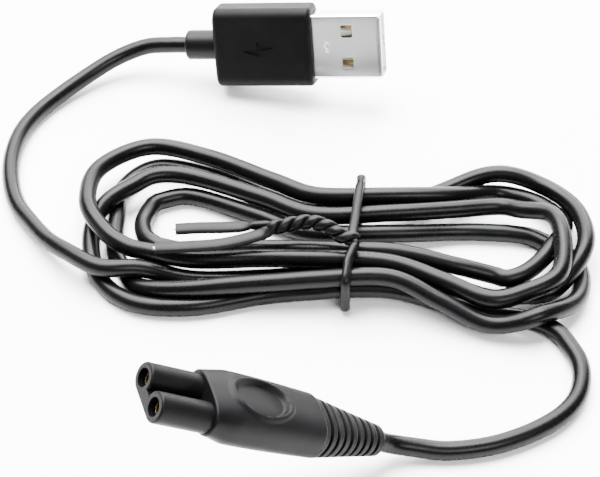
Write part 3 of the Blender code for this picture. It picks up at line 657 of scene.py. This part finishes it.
def sleeve(name, length, inside, outside, round_off, finish):
    """A moulded neck with a rounded mouth, cut across every half millimetre so that it bends."""
    profile = [(x, inside) for x in reversed([0.15] + span(0.15, length, 0.5))]
    profile += [(0.0, inside + 0.15)]
    profile += [(round_off * (1 - math.sin(a)), outside - round_off * (1 - math.cos(a)))
                for a in [math.pi / 2 * k / 6 for k in range(6, -1, -1)]]
    profile += [(x, outside) for x in span(round_off, length, 0.5)]
    return made_of(name, turned(profile), finish)


def bend_piece(made, place, node):
    """Set a piece down between the cord and a moulding, on no body, with its place baked into its
    mesh.
    """
    set_down(made, place, node, None)
    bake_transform(made)


collar_plastic = moulded("collar_plastic", (0.0012, 0.0012, 0.0014), 0.16, 0.38, 4.0, 0.2, 0.010, 0.08)
collar = sleeve("plug_collar", COLLAR_LENGTH + 0.02, CORD_RADIUS + 0.06,
                CORD_RADIUS + COLLAR_WALL, COLLAR_ROUND, collar_plastic)
bend_piece(collar, PLUG, "usb_collar")


def cord_end(name, length, finish):
    """The end of the cord inside a moulding, trimmed square."""
    profile = [(0.15, 0.0), (0.15, CORD_RADIUS)]
    profile += [(x, CORD_RADIUS) for x in span(0.15, length, 0.5)] + [(length, 0.0)]
    return made_of(name, turned(profile, 32), finish)


plug_cord_end = cord_end("plug_cord_end", COLLAR_LENGTH + 2.2 + 1.3, jacket)
bend_piece(plug_cord_end, PLUG, "usb_cord_end")

# ---- Connector nose ---------------------------------------------------------------------
# Two round barrels on a shared web, open above between them, so that it enters the trimmer
# one way round. Each barrel is bored for a socket.

BOOT_LENGTH = 13.2
TRIMMER = (Matrix.Translation(CONNECTOR_EXIT * MM) @ turn_of(CONNECTOR_TURN).to_4x4()
           @ Matrix.Scale(MM, 4))
BODY_START = BOOT_LENGTH
BODY_END = BODY_START + 19.8
FACE_X = BODY_END + 8.8
NOSE_START = BODY_END - 6.4
BARREL = 2.3
PITCH = 5.6
BORE = 1.4
GROOVE_LEVEL = -0.2
NOSE_ROUND = 0.35

nose_plastic = moulded("nose_plastic", (0.0013, 0.0013, 0.0015), 0.18, 0.44, 3.0, 0.16, 0.018, 0.055)


def nose_ring(x, radius):
    """Once round both barrels: the flat underside, the sides, and the groove on top."""
    half = PITCH / 2
    dip = math.asin(min(0.9, -GROOVE_LEVEL / radius))
    ring = []
    for side in (1, -1):
        for step in range(33):
            angle = -math.pi / 2 + (1.5 * math.pi + dip) * step / 32
            if side < 0:
                angle = -dip + (1.5 * math.pi + dip) * step / 32
            ring.append((x, side * half + radius * math.cos(angle), radius * math.sin(angle)))
    return ring


def nose_body():
    rings = [nose_ring(x, BARREL - 0.5) for x in (NOSE_START, BODY_END - 0.2)]
    rings += [nose_ring(x, BARREL) for x in (BODY_END - 0.19, BODY_END + 4)]
    for step in range(6):
        a = math.pi / 2 * step / 5
        rings.append(nose_ring(FACE_X - NOSE_ROUND * (1 - math.sin(a)),
                               BARREL - NOSE_ROUND * (1 - math.cos(a))))
    return skinned(rings)


def round_cutter(name, start, end, radius, y, sides=40):
    rings = [[(x, y + radius * math.cos(a), radius * math.sin(a))
              for a in [2 * math.pi * k / sides for k in range(sides)]] for x in (start, end)]
    return made_of(name, skinned(rings))


nose = made_of("trimmer_nose", nose_body(), nose_plastic)
carved(nose, *[round_cutter("bore", NOSE_START - 1, FACE_X + 1, BORE, side * PITCH / 2)
               for side in (-1, 1)])
softened(nose, 0.10, 50)
set_down(nose, TRIMMER, "connector_nose", "connector")

# ---- Sockets ----------------------------------------------------------------------------
# Turned brass, chamfered at the mouth and slit down one side so that they grip the pins, each
# with a tail that its core is soldered to.

SOCKET = 1.1
PIN_WAY = 0.85
SOCKET_END = FACE_X - 1.0
TAIL_END = NOSE_START - 2.4

# Brass, its tone set far darker than clean brass as a painted shade for the bores the sockets sit in.
brass_darkened_for_shade = metal("brass_sockets", (0.16, 0.11, 0.045), 0.12, 0.30, 0.10, 0.002,
                     CONNECTOR_TURN)


def socket_piece(name, node, side):
    profile = [(TAIL_END, 0.0), (TAIL_END, 0.55), (NOSE_START - GAP, 0.55),
               (NOSE_START - GAP, SOCKET), (SOCKET_END - 0.12, SOCKET), (SOCKET_END, SOCKET - 0.08),
               (SOCKET_END, PIN_WAY + 0.14), (SOCKET_END - 0.25, PIN_WAY),
               (NOSE_START + 2, PIN_WAY), (NOSE_START + 1.6, 0.0)]
    piece = made_of(name, turned(profile), brass_darkened_for_shade)
    slit = box_cutter("slit", SOCKET_END - 4.4, SOCKET_END + 1, 0.3, 4.0, 0.05, 2.3)
    carved(piece, slit)
    piece.data.transform(Matrix.Translation((0, side * PITCH / 2, 0)))
    set_down(piece, TRIMMER, node, "connector")


socket_piece("brass_socket_a", "socket_positive", -1)
socket_piece("brass_socket_b", "socket_negative", 1)

# ---- Inside the connector ---------------------------------------------------------------
# A block holds the cores and the sockets' tails in line while the body is moulded on.

refinish("connector_block", natural_block)
refinish("connector_core_positive", red_core)
refinish("connector_core_negative", black_core)

# ---- Connector body ---------------------------------------------------------------------
# Charcoal PVC, full and rounded, sloping down to the nose in a flat facet on top and hollow
# curves at the sides. The thumb goes in an oval dish with a raised rim.

REAR = (10.2, 7.4)
FRONT = (11.6, 8.0)
SHOULDER = 4.1
NECK = (PITCH + 2 * BARREL + 0.8, 2 * BARREL + 1.5)
DISH_X = BODY_START + 11.4
DISH_Y = 0.5
DISH = (4.75, 3.4)
DISH_DEPTH = 0.62
RIM_HEIGHT = 0.28
RIM_WIDTH = 0.22
BODY_SIDES = 176
BODY_STEP = 0.16


def ease(t):
    t = min(1.0, max(0.0, t))
    return t * t * (3 - 2 * t)


def body_section(x):
    """Half width, top and bottom of the body at a place along it."""
    long = (x - BODY_START) / (BODY_END - SHOULDER - BODY_START)
    grown = math.sin(min(1.0, long) * math.pi / 2)
    half = (REAR[0] + grown * (FRONT[0] - REAR[0])) / 2
    top = (REAR[1] + grown * (FRONT[1] - REAR[1])) / 2
    low = top
    slope = (x - (BODY_END - SHOULDER)) / SHOULDER
    if slope > 0:
        half += ease(slope) * (NECK[0] / 2 - half)
        top += slope * (NECK[1] / 2 - top)
        low += ease(slope) * (NECK[1] / 2 - low)
    for edge, radius in ((BODY_START, 0.35), (BODY_END, 0.30)):
        near = 1 - abs(x - edge) / radius
        if near > 0:
            drawn = radius * (1 - math.sqrt(max(0.0, 1 - near * near)))
            half, top, low = half - drawn, top - drawn, low - drawn
    return half, top, low


def thumb_dish(x, y):
    """How far the top face stands up or sinks, round the oval dish."""
    r = math.hypot((x - DISH_X) / DISH[0], (y - DISH_Y) / DISH[1])
    wall = ease((1.0 - r) / 0.13)
    rim = ease((1 + RIM_WIDTH - r) / 0.07) * ease((r - 0.97) / 0.05)
    floor = 0.10 * max(0.0, 1 - r * r)
    return RIM_HEIGHT * rim - (DISH_DEPTH + floor) * wall


def body_shape():
    places = [BODY_START + 0.05 * k for k in range(8)]
    places += [BODY_START + 0.4 + s for s in span(0, BODY_END - SHOULDER - BODY_START - 0.4,
                                                  BODY_STEP)]
    places += [BODY_END - SHOULDER + s for s in span(0, SHOULDER - 0.35, BODY_STEP)]
    places += [BODY_END - 0.3 + 0.05 * k for k in range(7)]
    rings = []
    for x in places:
        half, top, low = body_section(x)
        ring = []
        for k in range(BODY_SIDES):
            angle = 2 * math.pi * k / BODY_SIDES
            c, s = math.cos(angle), math.sin(angle)
            power = 2 / 2.9 if s > 0 else 2 / 2.3
            y = math.copysign(abs(c) ** power, c) * half
            z = math.copysign(abs(s) ** power, s) * (top if s > 0 else low)
            if s > 0:
                z += thumb_dish(x, y)
            ring.append((x, y, z))
        rings.append(ring)
    return skinned(rings)


body_plastic = moulded("body_plastic", (0.0013, 0.0013, 0.0015), 0.18, 0.45, 6.0, 0.16, 0.018, 0.055)
body = made_of("trimmer_body", body_shape(), body_plastic)
nose_seat = made_of("nose_seat", skinned([nose_ring(x, r) for x, r in (
    (NOSE_START - GAP, BARREL - 0.42), (BODY_END - 0.2 - GAP, BARREL - 0.42),
    (BODY_END - 0.2 - GAP + 0.01, BARREL + 0.05), (BODY_END + 1, BARREL + 0.05))]))
inner_way = box_cutter("inner_way", BODY_START + 1.6 - GAP, NOSE_START, 8.2 + 2 * GAP,
                       4.6 + 2 * GAP, 1.5 + GAP)
wire_way = round_cutter("wire_way", BODY_START - 1, BODY_START + 2, CORD_RADIUS + GAP, 0.0)
carved(body, nose_seat, inner_way, wire_way)
set_down(body, TRIMMER, "connector_grip", "connector", 40)

# ---- Connector boot ---------------------------------------------------------------------
# The flexible tail of the connector, softer PVC with eight grooves cut across its top and
# sides so that it bends. The underside is left smooth.

GROOVES = 8
BOOT_TAIL = 1.4
GROOVE_PITCH = (BOOT_LENGTH - BOOT_TAIL) / GROOVES
GROOVE_WIDTH = 0.66
GROOVE_DEPTH = 0.55
LOWER_EDGE = -0.62
BOOT_REAR = (4.7, 4.5)
BOOT_FRONT = (10.0, 7.2)

boot_rubber = moulded("ribbed_boot", (0.0011, 0.0011, 0.0013), 0.18, 0.43, 5.0, 0.2, 0.012, 0.055)


def plain_boot():
    """The boot before its grooves: a tapered tube, closely divided along its length."""
    rings = []
    for x in [0.0, 0.05, 0.12, 0.22, 0.35, 0.5] + [0.5 + s for s in span(0, BOOT_LENGTH - 0.5,
                                                                        0.09)]:
        share = x / BOOT_LENGTH
        drawn = 0.5 - math.sqrt(max(0.0, 0.25 - max(0.0, 0.5 - x) ** 2))
        half = [(a + share * (b - a)) / 2 - drawn for a, b in zip(BOOT_REAR, BOOT_FRONT)]
        ring = []
        for k in range(96):
            c, s = math.cos(2 * math.pi * k / 96), math.sin(2 * math.pi * k / 96)
            power = 2 / (2.15 + 0.35 * share)
            ring.append((x, math.copysign(abs(c) ** power, c) * half[0],
                         math.copysign(abs(s) ** power, s) * half[1]))
        rings.append(ring)
    inside = []
    for x in [BOOT_LENGTH] + [BOOT_LENGTH - s for s in span(0, BOOT_LENGTH, 0.6)]:
        bore = CORD_RADIUS + 0.06
        inside.append([(x, bore * math.cos(2 * math.pi * k / 96),
                        bore * math.sin(2 * math.pi * k / 96)) for k in range(96)])
    return skinned(rings + inside + rings[:1], capped=False)


def groove_tree():
    """Geometry Nodes: presses evenly spaced grooves into the skin of a piece along X."""
    tree = bpy.data.node_groups.new("boot_grooves", "GeometryNodeTree")
    face = tree.interface
    face.new_socket("Geometry", in_out="INPUT", socket_type="NodeSocketGeometry")
    for name in ("First", "Pitch", "Count", "Width", "Depth", "Lower Edge", "Skin"):
        face.new_socket(name, in_out="INPUT", socket_type="NodeSocketFloat")
    face.new_socket("Finish", in_out="INPUT", socket_type="NodeSocketMaterial")
    face.new_socket("Geometry", in_out="OUTPUT", socket_type="NodeSocketGeometry")
    nodes, links = tree.nodes, tree.links
    given = nodes.new("NodeGroupInput")
    result = nodes.new("NodeGroupOutput")

    def sums(operation, *values):
        node = nodes.new("ShaderNodeMath")
        node.operation = operation
        for socket, value in zip(node.inputs, values):
            if isinstance(value, (int, float)):
                socket.default_value = value
            else:
                links.new(value, socket)
        return node.outputs["Value"]

    def step_up(value, low, high):
        node = nodes.new("ShaderNodeMapRange")
        node.interpolation_type = "SMOOTHSTEP"
        for key, item in (("Value", value), ("From Min", low), ("From Max", high)):
            if isinstance(item, (int, float)):
                node.inputs[key].default_value = item
            else:
                links.new(item, node.inputs[key])
        return node.outputs["Result"]

    place = nodes.new("GeometryNodeInputPosition")
    parts = nodes.new("ShaderNodeSeparateXYZ")
    links.new(place.outputs["Position"], parts.inputs["Vector"])
    along = sums("DIVIDE", sums("SUBTRACT", parts.outputs["X"], given.outputs["First"]),
                 given.outputs["Pitch"])
    cell = sums("FLOOR", along)
    share = sums("MULTIPLY", sums("SUBTRACT", along, cell), given.outputs["Pitch"])
    wall = sums("MULTIPLY", given.outputs["Width"], 0.35)
    fall = sums("SUBTRACT", given.outputs["Width"], wall)
    pressed = sums("MULTIPLY", step_up(share, 0.0, wall),
                   sums("SUBTRACT", 1.0, step_up(share, fall, given.outputs["Width"])))
    counted = sums("MULTIPLY", sums("GREATER_THAN", cell, -0.5),
                   sums("LESS_THAN", cell, sums("SUBTRACT", given.outputs["Count"], 0.5)))
    out = sums("SQRT", sums("ADD", sums("POWER", sums("ABSOLUTE", parts.outputs["Y"]), 2.0),
                            sums("POWER", sums("ABSOLUTE", parts.outputs["Z"]), 2.0)))
    rise = sums("DIVIDE", parts.outputs["Z"], sums("MAXIMUM", out, 0.001))
    above = step_up(rise, given.outputs["Lower Edge"],
                    sums("ADD", given.outputs["Lower Edge"], 0.14))
    skin = sums("GREATER_THAN", out, given.outputs["Skin"])
    depth = sums("MULTIPLY", sums("MULTIPLY", pressed, counted),
                 sums("MULTIPLY", sums("MULTIPLY", above, skin), given.outputs["Depth"]))
    inward = sums("DIVIDE", sums("MULTIPLY", depth, -1.0), sums("MAXIMUM", out, 0.001))
    shift = nodes.new("ShaderNodeCombineXYZ")
    links.new(sums("MULTIPLY", inward, parts.outputs["Y"]), shift.inputs["Y"])
    links.new(sums("MULTIPLY", inward, parts.outputs["Z"]), shift.inputs["Z"])
    moved = nodes.new("GeometryNodeSetPosition")
    links.new(given.outputs["Geometry"], moved.inputs["Geometry"])
    links.new(shift.outputs["Vector"], moved.inputs["Offset"])
    real = nodes.new("GeometryNodeRealizeInstances")
    links.new(moved.outputs["Geometry"], real.inputs["Geometry"])
    coat = nodes.new("GeometryNodeSetMaterial")
    links.new(real.outputs["Geometry"], coat.inputs["Geometry"])
    links.new(given.outputs["Finish"], coat.inputs["Material"])
    links.new(coat.outputs["Geometry"], result.inputs["Geometry"])
    return tree


def grown(made, tree, **sizes):
    """Run a Geometry Nodes tree on a piece with the given inputs, and keep its mesh."""
    step = made.modifiers.new("grown", "NODES")
    step.node_group = tree
    for item in tree.interface.items_tree:
        if item.in_out == "INPUT" and item.name in sizes:
            step[item.identifier] = sizes[item.name]
    baked(made)


boot = made_of("trimmer_boot", plain_boot(), boot_rubber)
grown(boot, groove_tree(), **{
    "First": BOOT_TAIL, "Pitch": GROOVE_PITCH, "Count": float(GROOVES), "Width": GROOVE_WIDTH,
    "Depth": GROOVE_DEPTH, "Lower Edge": LOWER_EDGE, "Skin": CORD_RADIUS + 0.4,
    "Finish": boot_rubber})
bend_piece(boot, TRIMMER, "connector_boot")

boot_cord_end = cord_end("trimmer_cord_end", BOOT_LENGTH + 3.2, jacket)
bend_piece(boot_cord_end, TRIMMER, "connector_cord_end")

# ---- Twist tie --------------------------------------------------------------------------
# A steel wire in an oval black plastic coating. It goes once round the waist of the hank, is
# twisted on itself over the top, and its two flat ends lie along the hank.

TIE_HALF = 0.65
HANK_TOP = 7.2
WAIST = (-8.9, 14.4)
NEAR_X, FAR_X = 11.4, 14.6
TIE_BEND = 1.5
TWIST_PITCH = 4.4
TIE_STEP = 0.35
TWIST_LINE = [
    (13.2, -1.5, 1.9), (11, -1, 2.2), (8.6, 1, 2.4), (6, 2.2, 2.3),
    (3.4, 2.2, 2.1), (0.9, 1.6, 2), (-1.4, 1.2, 1.9),
]
TAIL_UPPER = [(-4.6, 2.2, 1.4), (-8.6, 2.2, 1.1), (-12.8, 2.1, 1.1), (-16.8, 1.8, 1.1)]
TAIL_LOWER = [(-4.6, -0.6, 1.4), (-9.2, -1.7, 1.1), (-14.6, -2.3, 1.1), (-20, -2.6, 1.1)]
LOOP_SIZE = (0.80, 0.62)
TWIST_SIZE = (0.80, 0.68)
TAIL_SIZE = (1.15, 0.46)


def over_hank(points):
    return [Vector(p) + Vector((0, 0, HANK_TOP)) for p in points]


def twisted(centre, turns, phase):
    """One strand wound round a centre line."""
    strand = []
    for i, spot in enumerate(centre):
        ahead = centre[min(i + 1, len(centre) - 1)] - centre[max(i - 1, 0)]
        side = ahead.cross(Vector((0, 0, 1))).normalized()
        up = side.cross(ahead).normalized()
        angle = phase + 2 * math.pi * turns * i / (len(centre) - 1)
        strand.append(spot + (TIE_HALF + 0.06) * (math.cos(angle) * side + math.sin(angle) * up))
    return strand


def waist_loop():
    """Over the waist, down its far side, back beneath it and up its near side."""
    reach = GAP + TIE_HALF
    near, far = WAIST[0] - reach, WAIST[1] + reach
    top, low = HANK_TOP + reach, TIE_HALF

    def spot(share, z):
        return Vector((NEAR_X + (FAR_X - NEAR_X) * share, near + (far - near) * share, z))

    turn = TIE_BEND / (far - near)
    inset, drop = 0.3 * turn, 0.3 * TIE_BEND
    run = [spot(0.40, top + 0.4), spot(0.57, top), spot(0.74, top)]
    run += [spot(1 - turn, top), spot(1 - inset, top - drop), spot(1, top - TIE_BEND)]
    run += [spot(1, low + TIE_BEND), spot(1 - inset, low + drop), spot(1 - turn, low)]
    run += [spot(0.75, low), spot(0.5, low), spot(0.27, low)]
    run += [spot(turn, low), spot(inset, low + drop), spot(0, low + TIE_BEND)]
    run += [spot(0, top - TIE_BEND), spot(inset, top - drop), spot(turn, top)]
    return run + [spot(0.17, top + 0.3)]


def tie_route():
    """The whole tie, and how far along it each of its five stretches ends."""
    centre = [Vector(p) for p in smooth_line(over_hank(TWIST_LINE), 1.1)]
    turns = (len(centre) - 1) * 1.1 / TWIST_PITCH
    pair = [twisted(centre, turns, phase) for phase in (0.0, math.pi)]
    first, second = sorted(pair, key=lambda strand: -strand[0].y)
    upper, lower = TAIL_UPPER, TAIL_LOWER
    if first[-1].y < second[-1].y:
        upper, lower = lower, upper
    legs = [over_hank(reversed(upper)), first[::-1], waist_loop(), second, over_hank(lower)]
    line = smooth_line([point for leg in legs for point in leg], TIE_STEP)
    run = np.append(0, np.cumsum(np.linalg.norm(np.diff(line, axis=0), axis=1)))
    corners = [0.0]
    for point in (legs[1][0], legs[2][0], legs[3][0], legs[4][0]):
        corners.append(float(run[np.argmin(np.linalg.norm(line - np.array(point), axis=1))]))
    return line, run, corners, centre


def ribbon(line, sizes, ups, points=20):
    """A sweep of oval sections: half widths and half thicknesses, flat side towards ups."""
    ahead = np.gradient(line, axis=0)
    ahead /= np.linalg.norm(ahead, axis=1)[:, None]
    side = np.cross(ahead, ups)
    side /= np.linalg.norm(side, axis=1)[:, None]
    up = np.cross(side, ahead)
    rings = []
    for spot, s, u, (width, thick) in zip(line, side, up, sizes):
        ring = []
        for k in range(points):
            angle = 2 * math.pi * k / points
            c, z = math.cos(angle), math.sin(angle)
            flat = math.copysign(abs(c) ** 0.85, c) * width
            tall = math.copysign(abs(z) ** 0.85, z) * thick
            ring.append(tuple(spot + s * flat + u * tall))
        rings.append(ring)
    return skinned(rings)


tie_line, tie_run, tie_corners, twist_centre = tie_route()
key_runs = [0.0]
key_sizes = [TAIL_SIZE]
for corner, before, after in zip(tie_corners[1:], (TAIL_SIZE, TWIST_SIZE, LOOP_SIZE, TWIST_SIZE),
                                 (TWIST_SIZE, LOOP_SIZE, TWIST_SIZE, TAIL_SIZE)):
    key_runs += [corner - 1.2, corner + 1.2]
    key_sizes += [before, after]
key_runs.append(float(tie_run[-1]))
key_sizes.append(TAIL_SIZE)
half_sizes = np.stack([np.interp(tie_run, key_runs, [s[k] for s in key_sizes])
                       for k in (0, 1)], axis=1)

middle = np.array([[13.0, 3.2, HANK_TOP / 2]])
twist_array = np.array([tuple(p) for p in twist_centre])
flat_way = []
for spot, at in zip(tie_line, tie_run):
    if at < tie_corners[1] or at > tie_corners[4]:
        flat_way.append((0.0, -0.15, 1.0))
    elif tie_corners[2] < at < tie_corners[3]:
        out = spot - middle[0]
        flat_way.append((0.0, out[1] * 0.5, out[2]) if abs(out[1]) < 9 else (0.0, out[1], 0.0))
    else:
        gaps = np.linalg.norm(twist_array - spot, axis=1)
        flat_way.append(tuple(spot - twist_array[int(gaps.argmin())]))
flat_way = np.array(flat_way, float)
flat_way /= np.linalg.norm(flat_way, axis=1)[:, None]
box = np.ones(7) / 7
flat_way = np.stack([np.convolve(np.pad(flat_way[:, k], 3, mode="edge"), box, "valid")
                     for k in range(3)], axis=1)

tie_coat = moulded("tie_coating", (0.0014, 0.0014, 0.0016), 0.25, 0.36, 3.0, 0.5, 0.008, 0.08)
drawn_wire = metal("tie_wire_steel", (0.60, 0.60, 0.61), 0.10, 0.35, 0.10, 0.002)

tie_ribbon = made_of("tie_ribbon", ribbon(tie_line, half_sizes, flat_way), tie_coat)
softened(tie_ribbon, 0.08, 60)
set_down(tie_ribbon, Matrix.Scale(MM, 4), "tie_sleeve", "tie", 50)

ends = (tie_line[1] - tie_line[0]), (tie_line[-1] - tie_line[-2])
wire_line = np.vstack([tie_line[0] - 0.25 * ends[0] / np.linalg.norm(ends[0]), tie_line,
                       tie_line[-1] + 0.25 * ends[1] / np.linalg.norm(ends[1])])
wire_ups = np.vstack([flat_way[:1], flat_way, flat_way[-1:]])
tie_core = made_of("tie_core", ribbon(wire_line, [(0.2, 0.2)] * len(wire_line), wire_ups, 8),
                   drawn_wire)
set_down(tie_core, Matrix.Scale(MM, 4), "tie_wire", "tie")
